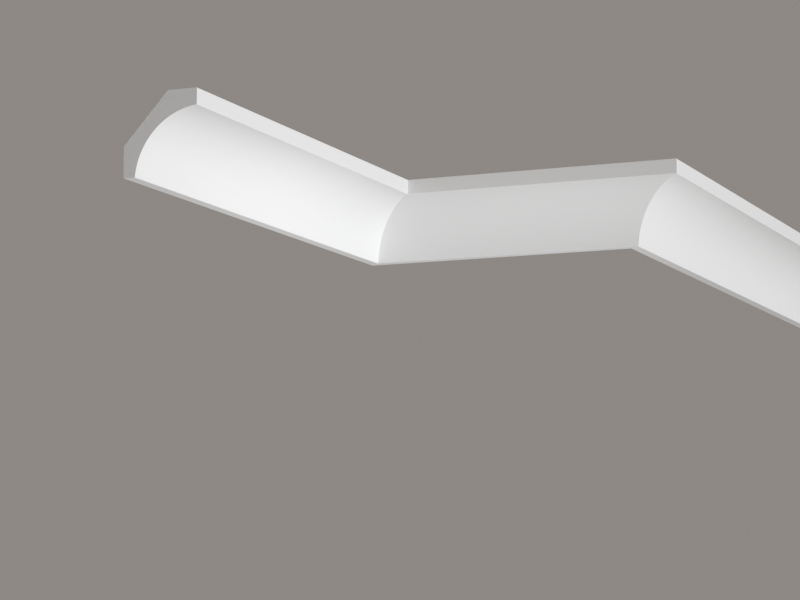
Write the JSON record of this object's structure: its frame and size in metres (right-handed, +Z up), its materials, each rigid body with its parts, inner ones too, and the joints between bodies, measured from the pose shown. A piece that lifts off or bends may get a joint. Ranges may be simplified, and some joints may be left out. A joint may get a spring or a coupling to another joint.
{
  "type": "cornice moulding",
  "caption": "Plain cove cornice moulding with a lip, an upright fascia and a chamfered back, mitred round an inner and an outer wall corner, to cover the joint of wall and ceiling.",
  "frame": {"origin": "centre of the middle length's wall seat, on the wall's surface, 81 mm below the ceiling", "axes": "+Z up to the ceiling, +Y into the middle length's wall, away from the room, +X to the right along that wall; the left and right lengths run along Y"},
  "size_m": [0.479, 1.677, 0.1],
  "materials": {
    "primed_white": "smooth factory primer, matt with a faint sheen, on dense white foam; saw-cut ends and the back are bare foam"
  },
  "bodies": {
    "root": {"left_length": "primed_white", "middle_length": "primed_white", "right_length": "primed_white"}
  },
  "joints": []
}
